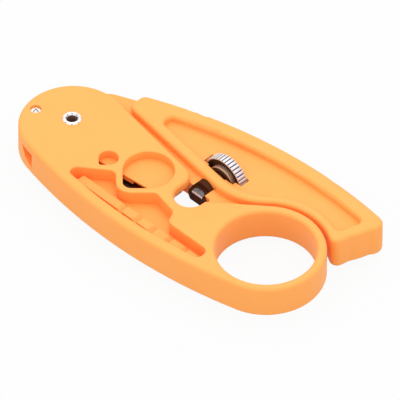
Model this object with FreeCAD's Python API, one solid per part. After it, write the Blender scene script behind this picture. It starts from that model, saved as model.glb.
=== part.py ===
"""Hand tool that strips and cuts network cable: a ring lever and a handle lever on one rivet.

Millimetres. The origin is on the pivot axis in the underside plane, +X runs to the tail,
+Y to the handle lever and +Z out of the upper face. The tool is drawn closed.
"""

import FreeCAD, Part
import math
import os

V = FreeCAD.Vector
Y_AXIS = V(0, 1, 0)
Z_AXIS = V(0, 0, 1)

# Thickness of both levers and the layers of the head
thickness = 11.0
cheek = 2.8
tongue_clearance = 0.06
edge_radius = 1.2
far = 60.0

# Ring lever outline
head_x = 1.4
head_y = -0.9
head_radius = 16.3
head_edge_angle = -9.4
ring_x = 78.8
ring_y = 2.4
ring_bore_radius = 15.0
ring_wall = 3.0
ring_bore_edge = 1.3
belly_radius = 172.6
spine_start_x = 0.7
nose_wall = 4.5
nose_wall_start = 214.0
nose_wall_end = 275.0
nose_pocket_floor_y = -14.2
nose_pocket_left_x = -4.8
nose_pocket_low_x = -3.1
nose_pocket_low_z = 4.6

# Cable seat between the levers
seat_x = 47.4
seat_y = 2.2
seat_radius = 4.8
seat_corner_radius = 4.5
seat_lip_height = 1.4
seat_lip_radius = 0.8

# Windows of the cable cutter in the ring lever
window_x = 31.4
window_y = 0.9
window_radius = 7.7
window_tip_radius = 2.6
small_window_x = 19.4
small_window_y = -3.9
small_window_radius = 2.95
small_window_tip_radius = 0.8
window_rib = 2.0
window_edge_radius = 0.4
throat_left_x = 37.1

# Cored recess and strip gauge in the ring lever
recess_depth = 4.6
back_recess_depth = 3.2
recess_rim = 3.5
recess_left_x = 15.1
recess_right_x = 67.9
recess_shelf_y = -10.6
recess_step_x = 51.0
recess_corner_radius = 2.2
recess_end_radius = 1.5
gauge_drop = 2.7
gauge_back_y = -12.5
gauge_width = 2.9
gauge_start_x = 17.7
gauge_first_x = 36.4
gauge_pitch = 6.35
gauge_slope_length = 2.0
gauge_slope_drop = 1.3
gauge_teeth = 5

# Pivot and nose pin
rivet_radius = 2.2
rivet_bore_radius = 1.55
rivet_flange_radius = 2.9
rivet_flange_height = 0.5
fixed_clearance = 0.02
running_clearance = 0.06
nose_pin_inset = 3.8
nose_pin_angle = 198.0
nose_pin_radius = 1.7
nose_pin_recess = 0.7
nose_pin_crimp_way = 135.0
nose_pin_crimp_spread = 30.0
nose_pin_crimp_width = 0.3
nose_pin_crimp_depth = 0.4
opening_angle = 35.0
stop_gap_angle = 0.5

# Handle lever outline
handle_arc_radius = 160.0
handle_top_x = 74.0
handle_top_y = 36.7
handle_left_x = 7.6
handle_left_radius = 2.6
handle_edge_x = 10.5
handle_edge_y = 15.7
handle_edge_angle = -7.5
handle_elbow_radius = 20.0
ring_gap = 1.2
tail_low_x = 91.2
tail_high_x = 97.9
tail_low_radius = 2.4
tail_high_radius = 3.4
tail_waves = 3
tail_wave = 0.25
tail_hollow = 0.7

# Handle lever pocket, the same on both faces
pocket_depth = 2.5
pocket_outer_rim = 5.1
pocket_lower_rim = 3.7
pocket_ring_rim = 2.8
pocket_elbow_radius = 17.0
pocket_left_x = 19.7
pocket_low_right_x = 88.6
pocket_high_right_x = 91.0
pocket_corner_radius = 1.8
pocket_floor_radius = 0.35
pocket_edge_radius = 1.3
pocket_waves = 2
pocket_hollow = 0.4

# Tongue of the handle lever
heel_drop = 1.8
heel_corner_x = -1.0
heel_corner_radius = 4.0
boss_pin_gap = 0.5
tongue_edge_left_y = -5.6
tongue_edge_right_y = -2.5
tongue_right_x = 37.6
tongue_gap = 0.5
guide_end_y = 7.8
guide_corner_radius = 2.0
guide_front_y = 6.9
guide_wall = 1.0
guide_side_y = 5.2

# Cutter blade under the tongue
blade_thickness = 0.8
blade_top_z = 5.2
blade_left_x = 15.5
blade_right_x = 36.5
blade_front_y = -9.6
blade_back_y = 5.0
blade_bevel = 1.6
blade_gap = 0.2
lip_step_x = 29.0
lip_left_height = 1.8
lip_right_height = 0.6
lip_undercut = 2.0
blade_screw_inset = 4.4
blade_screw_y = 2.0
blade_screw_radius = 1.0
blade_screw_length = 2.0
blade_screw_head_radius = 1.8
blade_screw_head_height = 1.2
blade_screw_slot_width = 0.5
blade_screw_slot_depth = 0.5

# Thumbwheel and its nut
spindle_x = 46.0
wheel_radius = 7.6
wheel_front_y = 17.3
wheel_width = 3.1
wheel_edge = 0.35
wheel_ridges = 40
wheel_groove_depth = 0.4
wheel_hub_radius = 5.3
wheel_hub_length = 1.1
wheel_face_recess = 0.6
wheel_rim_wall = 0.5
nut_radius = 4.4
nut_overhang = 0.1
wheel_end_gap = 0.25
wheel_side_gap = 0.2

# Blade carrier and lead screw
carrier_radius = 3.8
carrier_bore_clearance = 0.08
carrier_front_y = 6.6
carrier_travel = 4.0
carrier_rear_gap = 0.4
carrier_nose_length = 4.5
carrier_nose_drop = 2.4
carrier_seat_height = 1.0
carrier_seat_length = 2.5
carrier_key_width = 1.2
carrier_key_height = 0.8
carrier_key_length = 2.0
screw_radius = 1.5
screw_socket_length = 3.0
screw_tail_length = 0.6
strip_blade_width = 4.2
strip_blade_length = 2.0
strip_blade_side = 1.3
strip_blade_thickness = 0.5
strip_blade_reach = 0.1
strip_blade_tilt = 22.0
strip_blade_bevel = 0.3

# Return spring round the rivet
spring_radius = 4.2
spring_wire = 0.8
spring_turns = 2
spring_pitch = 0.85
spring_pocket_gap = 0.5
spring_pocket_roof = 1.6
spring_roof_gap = 0.15
spring_leg_overrun = 1.4
spring_leg_short = 8.0

# Layers and places worked out from the sizes above
mid_z = thickness / 2
slot_low = cheek
slot_high = thickness - cheek
tongue_low = slot_low + tongue_clearance
tongue_high = slot_high - tongue_clearance
ring_outer = ring_bore_radius + ring_wall
ring_centre = V(ring_x, ring_y)
head_centre = V(head_x, head_y)
seat_centre = V(seat_x, seat_y)
handle_arc_centre = V(handle_top_x, handle_top_y - handle_arc_radius)
heel_radius = handle_arc_radius - handle_arc_centre.Length - heel_drop
handle_inner_radius = ring_outer + ring_gap
carrier_bore_radius = carrier_radius + carrier_bore_clearance
wheel_back_y = wheel_front_y + wheel_width
nut_front_y = wheel_front_y - wheel_hub_length - nut_overhang
wheel_slot_front = nut_front_y - wheel_end_gap
wheel_slot_back = wheel_back_y + wheel_end_gap
carrier_rear_y = nut_front_y - carrier_rear_gap
screw_rear_y = wheel_back_y + carrier_travel + screw_tail_length
blade_low_z = blade_top_z - blade_thickness


def polar(radius, degrees, centre=V(0, 0)):
    """Point at a distance and an angle from a centre."""
    turn = math.radians(degrees)
    return centre + V(radius * math.cos(turn), radius * math.sin(turn))


def angle_of(point, centre=V(0, 0)):
    """Angle in degrees of a point seen from a centre."""
    return math.degrees(math.atan2(point.y - centre.y, point.x - centre.x))


nose_pin_place = polar(head_radius - nose_pin_inset, nose_pin_angle, head_centre)
boss_radius = nose_pin_place.Length - nose_pin_radius - boss_pin_gap


def arc_by_angles(centre, radius, start, end):
    """Arc edge from one angle to another, running the way the angles do."""
    middle = polar(radius, (start + end) / 2, centre)
    return Part.Arc(polar(radius, start, centre), middle, polar(radius, end, centre)).toShape()


def line(start, end):
    """Straight edge."""
    return Part.LineSegment(start, end).toShape()


def meet(centre_a, radius_a, centre_b, radius_b, side):
    """Crossing point of two circles, on the left (side 1) or right (side -1) of the way from a to b."""
    span = centre_b - centre_a
    along = (radius_a ** 2 - radius_b ** 2 + span.Length ** 2) / (2 * span.Length)
    across = math.sqrt(radius_a ** 2 - along ** 2)
    way = span / span.Length
    return centre_a + way * along + V(-way.y, way.x) * (across * side)


def line_on_circle(point, degrees, centre, radius):
    """First crossing of a circle by the line from a point at an angle."""
    way = polar(1, degrees)
    offset = point - centre
    half = offset.dot(way)
    root = math.sqrt(half ** 2 - offset.dot(offset) + radius ** 2)
    return point - way * (half + root)


def circle_y(x, centre, radius):
    """Upper height of a circle at x."""
    return centre.y + math.sqrt(radius ** 2 - (x - centre.x) ** 2)


def plate(edges, low, high):
    """Closed outline of edges, raised from one height to another."""
    wire = Part.Wire(Part.__sortEdges__(edges))
    face = Part.Face(wire)
    solid = face.extrude(V(0, 0, high - low))
    solid.translate(V(0, 0, low))
    return solid


def corner_edges(points):
    """Outline through points of x, y and corner radius."""
    count = len(points)
    places = [V(p[0], p[1]) for p in points]
    edges = []
    ends = []
    for i in range(count):
        here = places[i]
        back = places[i - 1] - here
        ahead = places[(i + 1) % count] - here
        radius = points[i][2]
        if not radius:
            ends.append((here, here))
            continue
        half = back.getAngle(ahead) / 2
        reach = radius / math.tan(half)
        first = here + back / back.Length * reach
        last = here + ahead / ahead.Length * reach
        middle_way = back / back.Length + ahead / ahead.Length
        centre = here + middle_way / middle_way.Length * (radius / math.sin(half))
        middle = centre + (here - centre) / (here - centre).Length * radius
        edges.append(Part.Arc(first, middle, last).toShape())
        ends.append((first, last))
    for i in range(count):
        start = ends[i][1]
        end = ends[(i + 1) % count][0]
        if (end - start).Length > 1e-6:
            edges.append(line(start, end))
    return edges


def corner_plate(points, low, high):
    """Prism on an outline of rounded corners."""
    return plate(corner_edges(points), low, high)


def box(x0, x1, y0, y1, z0, z1):
    """Box between two corners."""
    return Part.makeBox(x1 - x0, y1 - y0, z1 - z0, V(x0, y0, z0))


def post(radius, x, y, low, high):
    """Upright cylinder."""
    return Part.makeCylinder(radius, high - low, V(x, y, low), Z_AXIS)


def rod(radius, front, rear):
    """Cylinder along the spindle axis of the thumbwheel."""
    return Part.makeCylinder(radius, rear - front, V(spindle_x, front, mid_z), Y_AXIS)


def upright_edges(solid, points):
    """Upright edges of a solid that pass through the given points."""
    found = []
    for edge in solid.Edges:
        ends = [v.Point for v in edge.Vertexes]
        if len(ends) != 2 or abs(ends[0].z - ends[1].z) < 0.01:
            continue
        for point in points:
            if math.hypot(ends[0].x - point.x, ends[0].y - point.y) < 0.01:
                found.append(edge)
    return found


def edges_at(solid, height):
    """Edges of a solid that lie flat at one height."""
    return [e for e in solid.Edges if all(abs(v.Point.z - height) < 1e-4 for v in e.Vertexes)]


def opening_edges(solid, height):
    """Edges of the shaped openings in the flat face of a solid at one height."""
    found = []
    for face in solid.Faces:
        if all(abs(v.Point.z - height) < 1e-4 for v in face.Vertexes):
            for wire in face.Wires:
                if not wire.isSame(face.OuterWire):
                    found += wire.Edges
    return [e for e in found if not e.isClosed()]


def hole_edges(solid):
    """Whole-circle edges of the holes in the upper and lower face."""
    return [e for e in edges_at(solid, 0) + edges_at(solid, thickness) if e.isClosed()]


def round_both_faces(solid, radius):
    """Solid with the outer edges of its upper and lower face rounded."""
    return solid.makeFillet(radius, edges_at(solid, 0) + edges_at(solid, thickness))


def vee_window(x, y, radius, tip_radius):
    """Round window with a right-angled vee towards -Y, through the whole head."""
    side = radius / math.sqrt(2)
    tip = V(x, y - radius * math.sqrt(2))
    left = V(x - side, y - side)
    right = V(x + side, y - side)
    vee = corner_plate([(left.x, left.y, 0), (tip.x, tip.y, tip_radius), (right.x, right.y, 0)],
                       -1, thickness + 1)
    return post(radius, x, y, -1, thickness + 1).fuse(vee).removeSplitter()


def belly_centre():
    """Centre of the belly arc, which touches the head circle and the ring from outside."""
    return meet(head_centre, belly_radius - head_radius, ring_centre, belly_radius - ring_outer, 1)


def ring_ramp():
    """Lip of the cable seat and the angle of the ramp that runs from it to the ring."""
    lip = seat_centre + V(seat_radius, seat_lip_height)
    to_ring = ring_centre - lip
    return lip, angle_of(to_ring) + math.degrees(math.asin(ring_outer / to_ring.Length))


def ring_lever_blank():
    """Full-thickness outline of the ring lever with rounded edges."""
    head_top = 90 + head_edge_angle
    edge_start = polar(head_radius, head_top, head_centre)
    seat_left = seat_centre - V(seat_radius, 0)
    seat_right = seat_centre + V(seat_radius, 0)
    reach = (seat_left.x - edge_start.x) / math.cos(math.radians(head_edge_angle))
    seat_corner = edge_start + polar(reach, head_edge_angle)
    lip, ramp = ring_ramp()
    belly = belly_centre()
    ring_low = angle_of(ring_centre, belly)
    head_low = angle_of(head_centre, belly)
    edges = [
        line(edge_start, seat_corner),
        line(seat_corner, seat_left),
        arc_by_angles(seat_centre, seat_radius, 180, 360),
        line(seat_right, lip),
        line(lip, polar(ring_outer, ramp + 90, ring_centre)),
        arc_by_angles(ring_centre, ring_outer, ramp + 90, ring_low),
        arc_by_angles(belly, belly_radius, ring_low, head_low),
        arc_by_angles(head_centre, head_radius, head_low, head_top - 360),
    ]
    blank = plate(edges, 0, thickness)
    blank = blank.makeFillet(seat_corner_radius, upright_edges(blank, [seat_corner]))
    blank = blank.makeFillet(seat_lip_radius, upright_edges(blank, [lip]))
    return round_both_faces(blank, edge_radius)


def recess_edges():
    """Outline of the cored recess: ribs under the windows, the rim below and a shelf at the tail."""
    belly = belly_centre()
    rim_radius = belly_radius - recess_rim
    left_angle = angle_of(V(recess_left_x, belly.y - math.sqrt(rim_radius ** 2
                                                               - (recess_left_x - belly.x) ** 2)), belly)
    right_angle = angle_of(V(recess_right_x, belly.y - math.sqrt(rim_radius ** 2
                                                                 - (recess_right_x - belly.x) ** 2)), belly)
    left_low = polar(rim_radius, left_angle, belly)
    right_low = polar(rim_radius, right_angle, belly)
    vee_y = window_y - (window_radius + window_rib) * math.sqrt(2)
    vee_radius = window_tip_radius + window_rib
    small_low = small_window_y - (small_window_radius + window_rib) * math.sqrt(2)
    left_peak = (window_x + small_window_x + small_window_radius) / 2 - window_rib
    right_peak = (window_x + window_radius + seat_x - seat_radius) / 2 - window_rib / 2
    left_peak_y = vee_y + window_x - left_peak
    right_peak_y = vee_y + right_peak - window_x
    shoulder_x = recess_step_x - window_rib
    points = [
        (left_low.x, left_low.y, 0),
        (recess_left_x, (left_low.y + small_low) / 2, recess_corner_radius),
        (left_peak, left_peak_y, recess_corner_radius),
        (window_x, vee_y, vee_radius),
        (right_peak, right_peak_y, recess_corner_radius),
        (shoulder_x, right_peak_y - window_rib, recess_corner_radius),
        (recess_step_x, recess_shelf_y, recess_corner_radius),
        (recess_right_x, recess_shelf_y, recess_corner_radius),
        (right_low.x, right_low.y, 0),
    ]
    closing = corner_edges(points)
    straight = [e for e in closing
                if not (e.Vertexes[0].Point.isEqual(right_low, 1e-6)
                        and e.Vertexes[-1].Point.isEqual(left_low, 1e-6))]
    return straight + [arc_by_angles(belly, rim_radius, left_angle, right_angle)], left_low, right_low


def recess(low, high):
    """Prism of the cored recess between two heights."""
    edges, left_low, right_low = recess_edges()
    prism = plate(edges, low, high)
    return prism.makeFillet(recess_end_radius, upright_edges(prism, [left_low, right_low]))


def gauge_row(room):
    """Row of gauge teeth beside the rim, kept inside the recess."""
    top = thickness - gauge_drop
    floor = thickness - recess_depth
    ends = [gauge_first_x + gauge_pitch * i for i in range(gauge_teeth + 1)]
    profile = [V(gauge_start_x, 0, floor), V(gauge_start_x, 0, top)]
    for end in ends:
        profile.append(V(end - gauge_slope_length, 0, top))
        profile.append(V(end, 0, top - gauge_slope_drop))
        profile.append(V(end, 0, top))
    profile.pop()
    profile.append(V(ends[-1], 0, floor))
    profile.append(profile[0])
    wall = Part.Face(Part.makePolygon(profile))
    row = wall.extrude(V(0, -gauge_width, 0))
    row.translate(V(0, gauge_back_y, 0))
    return row.common(room)


def tongue_edge_y(x):
    """Leading edge of the tongue at x."""
    share = (x - boss_radius) / (tongue_right_x - boss_radius)
    return tongue_edge_left_y + share * (tongue_edge_right_y - tongue_edge_left_y)


def nose_closure():
    """Wall that joins the cheeks along the rim of the nose."""
    inner = head_radius - nose_wall
    outer = head_radius + nose_wall
    edges = [
        arc_by_angles(head_centre, inner, nose_wall_start, nose_wall_end),
        line(polar(inner, nose_wall_end, head_centre), polar(outer, nose_wall_end, head_centre)),
        arc_by_angles(head_centre, outer, nose_wall_start, nose_wall_end),
        line(polar(outer, nose_wall_start, head_centre), polar(inner, nose_wall_start, head_centre)),
    ]
    return plate(edges, slot_low, slot_high)


def nose_pocket():
    """Pocket in the side of the nose, whose lower edge slopes up to its left end."""
    corners = (
        (spine_start_x, slot_high),
        (spine_start_x, slot_low),
        (nose_pocket_low_x, nose_pocket_low_z),
        (nose_pocket_left_x, slot_high),
        (spine_start_x, slot_high),
    )
    outline = Part.makePolygon([V(x, -far, z) for x, z in corners])
    return Part.Face(outline).extrude(V(0, far + nose_pocket_floor_y, 0))


def head_slot():
    """Room between the cheeks for the tongue, open at the nose and into the cable seat."""
    seat_side = seat_x - seat_radius + window_rib
    rib_x = tongue_right_x + tongue_gap
    low = [
        (spine_start_x, -far, 0),
        (spine_start_x, tongue_edge_y(spine_start_x) - tongue_gap, 0),
        (rib_x, tongue_edge_y(rib_x) - tongue_gap, 0),
        (rib_x, seat_y - seat_radius + window_rib, 0),
        (seat_side, seat_y - seat_radius + window_rib, 0),
        (seat_side, far, 0),
        (-far, far, 0),
        (-far, -far, 0),
    ]
    room = corner_plate(low, slot_low, slot_high).cut(nose_closure())
    return room.fuse(post(boss_radius + tongue_gap, 0, 0, slot_low, slot_high))


def ring_lever():
    """Ring lever: finger ring, belly rim, two cheeks and the windows of the cutter."""
    body = ring_lever_blank()
    bore = post(ring_bore_radius, ring_x, ring_y, -1, thickness + 1)
    body = body.cut(bore)
    body = body.makeFillet(ring_bore_edge, hole_edges(body))
    body = body.cut(head_slot())
    body = body.cut(nose_pocket())
    body = body.cut(vee_window(window_x, window_y, window_radius, window_tip_radius))
    body = body.cut(vee_window(small_window_x, small_window_y, small_window_radius,
                               small_window_tip_radius))
    throat = box(throat_left_x, seat_x, seat_y, far, -1, slot_low)
    body = body.cut(throat)
    body = body.cut(box(blade_left_x - tongue_gap, math.hypot(blade_right_x, blade_front_y) + tongue_gap,
                        blade_front_y - tongue_gap, 0, blade_low_z - blade_gap, blade_top_z + blade_gap))
    upper = recess(thickness - recess_depth, thickness + 1)
    body = body.cut(upper)
    body = body.makeFillet(window_edge_radius, opening_edges(body, thickness))
    body = body.cut(recess(-1, back_recess_depth))
    body = body.fuse(gauge_row(upper))
    body = body.cut(post(rivet_radius + fixed_clearance, 0, 0, -1, thickness + 1))
    body = body.cut(post(nose_pin_radius + fixed_clearance, nose_pin_place.x, nose_pin_place.y,
                         -1, thickness + 1))
    return body.removeSplitter()


def elbow_edges(low_rim, ring_rim, radius, left_x, right_x):
    """Lower side of the handle or its pocket: a straight, an elbow arc and an arc round the ring."""
    up = polar(1, handle_edge_angle + 90)
    start = V(handle_edge_x, handle_edge_y) + up * low_rim
    ring_radius = handle_inner_radius + ring_rim
    elbow = line_on_circle(start + up * radius, handle_edge_angle, ring_centre, ring_radius + radius)
    slope = math.tan(math.radians(handle_edge_angle))
    left = V(left_x, start.y + (left_x - start.x) * slope)
    right = V(right_x, circle_y(right_x, ring_centre, ring_radius))
    to_ring = angle_of(ring_centre, elbow)
    edges = [
        line(left, elbow - up * radius),
        arc_by_angles(elbow, radius, handle_edge_angle - 90, to_ring),
        arc_by_angles(ring_centre, ring_radius, to_ring + 180, angle_of(right, ring_centre)),
    ]
    return edges, left, right


def wavy_edges(low, high, waves, hollow):
    """Shallow arcs from a low to a high point, bulging to +X, and the points where they meet."""
    along = high - low
    out = V(along.y, -along.x) / along.Length
    points = [low]
    for i in range(1, waves):
        points.append(low + along * (i / waves) - out * hollow)
    points.append(high)
    edges = []
    for start, end in zip(points, points[1:]):
        edges.append(Part.Arc(start, (start + end) / 2 + out * tail_wave, end).toShape())
    return edges, points[1:-1]


def handle_blank():
    """Full-thickness outline of the handle lever with a wavy tail end and rounded edges."""
    edges, left_low, right_low = elbow_edges(0, 0, handle_elbow_radius, handle_left_x, tail_low_x)
    left_high = V(handle_left_x, circle_y(handle_left_x, handle_arc_centre, handle_arc_radius))
    right_high = V(tail_high_x, circle_y(tail_high_x, handle_arc_centre, handle_arc_radius))
    tail, dips = wavy_edges(right_low, right_high, tail_waves, tail_hollow)
    edges += tail
    edges.append(line(left_high, left_low))
    edges.append(arc_by_angles(handle_arc_centre, handle_arc_radius,
                               angle_of(right_high, handle_arc_centre),
                               angle_of(left_high, handle_arc_centre)))
    blank = plate(edges, 0, thickness)
    blank = blank.makeFillet(handle_left_radius, upright_edges(blank, [left_low, left_high]))
    blank = blank.makeFillet(tail_low_radius, upright_edges(blank, [right_low]))
    blank = blank.makeFillet(tail_high_radius, upright_edges(blank, [right_high] + dips))
    return round_both_faces(blank, edge_radius)


def handle_pocket(low, high, floor):
    """Pocket of the handle between two heights, with a rounded floor edge."""
    edges, left_low, right_low = elbow_edges(pocket_lower_rim, pocket_ring_rim, pocket_elbow_radius,
                                             pocket_left_x, pocket_low_right_x)
    outer = handle_arc_radius - pocket_outer_rim
    left_high = V(pocket_left_x, circle_y(pocket_left_x, handle_arc_centre, outer))
    right_high = V(pocket_high_right_x, circle_y(pocket_high_right_x, handle_arc_centre, outer))
    tail, dips = wavy_edges(right_low, right_high, pocket_waves, pocket_hollow)
    edges += tail
    edges.append(line(left_high, left_low))
    edges.append(arc_by_angles(handle_arc_centre, outer, angle_of(right_high, handle_arc_centre),
                               angle_of(left_high, handle_arc_centre)))
    prism = plate(edges, low, high)
    corners = [left_low, left_high, right_low, right_high] + dips
    prism = prism.makeFillet(pocket_corner_radius, upright_edges(prism, corners))
    return prism.makeFillet(pocket_floor_radius, edges_at(prism, floor))


def stop_angle():
    """Angle of the tongue's stop face, which meets the nose pin when the tool is fully open."""
    pin_half = math.degrees(math.asin(nose_pin_radius / nose_pin_place.Length))
    return angle_of(nose_pin_place) % 360 - opening_angle - pin_half - stop_gap_angle


def tongue_plate():
    """Tongue between the cheeks: heel with a stop face, boss round the rivet and leading edge."""
    lip, ramp = ring_ramp()
    side = lip + polar(ring_gap, ramp + 90)
    side_low = side + polar((guide_side_y - side.y) / math.sin(math.radians(ramp)), ramp)
    side_high = side_low + polar(handle_elbow_radius / 2, ramp)
    heel = V(heel_corner_x, circle_y(heel_corner_x, handle_arc_centre, handle_arc_radius))
    root = V(pocket_left_x, circle_y(pocket_left_x, handle_arc_centre, handle_arc_radius - edge_radius))
    heel_start = angle_of(heel) + math.degrees(math.acos(heel_radius / heel.Length))
    stop = stop_angle()
    right_low = V(tongue_right_x, tongue_edge_right_y)
    edge_way = angle_of(V(boss_radius, tongue_edge_left_y), right_low)
    edge_start = line_on_circle(right_low, edge_way, V(0, 0), boss_radius)
    right_high = V(tongue_right_x, guide_end_y)
    guide_high = V(spindle_x, guide_end_y)
    guide_low = V(spindle_x, guide_front_y)
    guide_corner = V(spindle_x + carrier_bore_radius + guide_wall, guide_front_y)
    arc_middle_x = (heel.x + root.x) / 2
    arc_middle_radius = handle_arc_radius - edge_radius / 2
    arc_middle = V(arc_middle_x, circle_y(arc_middle_x, handle_arc_centre, arc_middle_radius))
    edges = [
        Part.Arc(root, arc_middle, heel).toShape(),
        line(heel, polar(heel_radius, heel_start)),
        arc_by_angles(V(0, 0), heel_radius, heel_start, stop),
        line(polar(heel_radius, stop), polar(boss_radius, stop)),
        arc_by_angles(V(0, 0), boss_radius, stop, angle_of(edge_start) % 360),
        line(edge_start, right_low),
        line(right_low, right_high),
        line(right_high, guide_high),
        line(guide_high, guide_low),
        line(guide_low, guide_corner),
        line(guide_corner, side_low),
        line(side_low, side_high),
        line(side_high, root),
    ]
    blade = plate(edges, tongue_low, tongue_high)
    blade = blade.makeFillet(guide_corner_radius, upright_edges(blade, [right_high]))
    return blade.makeFillet(heel_corner_radius, upright_edges(blade, [heel]))


def spring_levels():
    """Heights of the wire centre where the coil starts and ends, and the rise of the wire along its way."""
    rise = spring_pitch / (2 * math.pi * spring_radius)
    roof = tongue_high - spring_pocket_roof - spring_roof_gap
    high = roof - spring_wire / 2 - rise * spring_leg_short
    return high - spring_turns * spring_pitch, high, rise


def spring_start_angle():
    """Angle round the rivet at which both spring legs leave the coil, so that one rests on the pin."""
    reach = spring_radius - nose_pin_radius - spring_wire / 2 - fixed_clearance
    lean = math.degrees(math.acos(reach / nose_pin_place.Length))
    return angle_of(nose_pin_place) % 360 + lean


def spring_room():
    """Room in the underside of the tongue for the coil and the two legs of the return spring."""
    roof = tongue_high - spring_pocket_roof
    low = tongue_low - 1
    coil = post(spring_radius + spring_wire / 2 + spring_pocket_gap, 0, 0, low, roof)
    bay_y = boss_radius * math.sin(math.radians(stop_angle())) - spring_pocket_gap
    bay = box(-far, 0, -far, bay_y, low, roof)
    width = spring_wire + 2 * fixed_clearance
    groove = Part.makeBox(spring_leg_short + spring_pocket_gap, width, roof - low,
                          V(0, -width / 2, low))
    start = spring_start_angle()
    groove.rotate(V(0, 0, 0), Z_AXIS, start + 90)
    groove.translate(polar(spring_radius, start))
    return coil.fuse([bay, groove])


def blade_room():
    """Rebate under the tongue for the cutter blade, with the stepped lip over its front."""
    left = blade_left_x - blade_gap
    right = blade_right_x + blade_gap
    rebate = box(left, right, -far, blade_back_y + blade_gap, tongue_low - 1, blade_top_z)
    lip_back = tongue_edge_right_y + lip_undercut
    left_lip = box(left, lip_step_x, -far, lip_back, blade_top_z, tongue_high - lip_left_height)
    right_lip = box(lip_step_x, right, -far, lip_back, blade_top_z, tongue_high - lip_right_height)
    return rebate.fuse([left_lip, right_lip])


def blade_screw_places():
    """Places of the two screws of the cutter blade."""
    return [V(blade_left_x + blade_screw_inset, blade_screw_y),
            V(blade_right_x - blade_screw_inset, blade_screw_y)]


def handle_lever():
    """Handle lever: rim, web with the wheel slot, carrier bore and the tongue."""
    body = handle_blank()
    upper_floor = thickness - pocket_depth
    body = body.cut(handle_pocket(upper_floor, thickness + 1, upper_floor))
    body = body.cut(handle_pocket(-1, pocket_depth, pocket_depth))
    rim_radius = min(pocket_edge_radius, 0.9 * (pocket_ring_rim - edge_radius))
    body = body.makeFillet(rim_radius, opening_edges(body, thickness) + opening_edges(body, 0))
    body = body.fuse(tongue_plate())
    body = body.cut(blade_room())
    body = body.cut(spring_room())
    body = body.cut(post(rivet_radius + running_clearance, 0, 0, -1, thickness + 1))
    for place in blade_screw_places():
        body = body.cut(post(blade_screw_radius + fixed_clearance, place.x, place.y, blade_top_z - 1,
                             blade_top_z + blade_screw_length + blade_gap))
    body = body.cut(rod(carrier_bore_radius, 0, wheel_slot_front))
    key = box(spindle_x - carrier_key_width / 2, spindle_x + carrier_key_width / 2,
              wheel_slot_front - 2 * carrier_key_length, wheel_slot_front - carrier_key_length,
              mid_z - carrier_bore_radius - carrier_key_height, mid_z - carrier_radius + carrier_key_height)
    body = body.fuse(key)
    wheel_half = wheel_radius + wheel_side_gap
    hub_half = wheel_hub_radius + wheel_side_gap
    body = body.cut(box(spindle_x - wheel_half, spindle_x + wheel_half, wheel_front_y - wheel_end_gap,
                        wheel_slot_back, -1, thickness + 1))
    body = body.cut(box(spindle_x - hub_half, spindle_x + hub_half, wheel_slot_front,
                        wheel_front_y, tongue_low - 1, tongue_high + 1))
    body = body.cut(rod(screw_radius + running_clearance, wheel_slot_back, screw_rear_y + wheel_end_gap))
    return body.removeSplitter()


def pivot_rivet():
    """Tubular rivet with a rounded flange on the upper face."""
    tube = post(rivet_radius, 0, 0, -rivet_flange_height, thickness)
    flange = post(rivet_flange_radius, 0, 0, thickness, thickness + rivet_flange_height)
    rivet = tube.fuse(flange).cut(post(rivet_bore_radius, 0, 0, -far, far)).removeSplitter()
    return rivet.makeFillet(rivet_flange_height * 0.7, edges_at(rivet, thickness + rivet_flange_height))


def rivet_washer():
    """Washer under the clinched end of the rivet."""
    disc = post(rivet_flange_radius, 0, 0, -rivet_flange_height, 0)
    return disc.cut(post(rivet_radius + fixed_clearance, 0, 0, -far, far))


def nose_pin():
    """Pin that joins the cheeks at the nose, holds the spring and stops the opening, with a vee of two
    crimped grooves in each end."""
    low = nose_pin_recess
    high = thickness - nose_pin_recess
    pin = post(nose_pin_radius, nose_pin_place.x, nose_pin_place.y, low, high)
    tip = polar(nose_pin_radius / 2, nose_pin_crimp_way, nose_pin_place)
    for bottom in (low, high - nose_pin_crimp_depth):
        for spread in (-nose_pin_crimp_spread, nose_pin_crimp_spread):
            groove = Part.makeBox(2 * nose_pin_radius, nose_pin_crimp_width, nose_pin_crimp_depth,
                                  V(0, -nose_pin_crimp_width / 2, bottom))
            groove.rotate(V(0, 0, 0), Z_AXIS, nose_pin_crimp_way + 180 + spread)
            groove.translate(tip)
            pin = pin.cut(groove)
    return pin


def return_spring():
    """Torsion spring round the rivet, with one leg on the nose pin and one in the tongue."""
    low, high, rise = spring_levels()
    start = spring_start_angle()
    coil = []
    for i in range(2 * spring_turns):
        half_turn = Part.makeHelix(spring_pitch, spring_pitch / 2, spring_radius)
        half_turn.rotate(V(0, 0, 0), Z_AXIS, start + 180 * i)
        half_turn.translate(V(0, 0, low + i * spring_pitch / 2))
        coil += half_turn.Edges
    along = polar(1, start + 90) + V(0, 0, rise)
    along.normalize()
    coil_start = polar(spring_radius, start) + V(0, 0, low)
    coil_end = polar(spring_radius, start) + V(0, 0, high)
    long_leg = math.sqrt(nose_pin_place.Length ** 2 - spring_radius ** 2) + spring_leg_overrun
    tip = coil_start - along * long_leg
    legs = [line(tip, coil_start), line(coil_end, coil_end + along * spring_leg_short)]
    path = Part.Wire([legs[0]] + coil + [legs[1]])
    section = Part.Wire(Part.makeCircle(spring_wire / 2, tip, along))
    return path.makePipeShell([section], True, False)


def cutter_blade():
    """Flat steel blade with one bevelled edge and two screw holes."""
    blade = box(blade_left_x, blade_right_x, blade_front_y, blade_back_y, blade_low_z, blade_top_z)
    wedge = Part.Face(Part.makePolygon([
        V(blade_left_x, blade_front_y, blade_low_z),
        V(blade_left_x, blade_front_y + blade_bevel, blade_low_z),
        V(blade_left_x, blade_front_y, blade_top_z - fixed_clearance),
        V(blade_left_x, blade_front_y, blade_low_z),
    ])).extrude(V(blade_right_x - blade_left_x, 0, 0))
    blade = blade.cut(wedge)
    for place in blade_screw_places():
        blade = blade.cut(post(blade_screw_radius + fixed_clearance, place.x, place.y, 0, thickness))
    return blade


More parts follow.
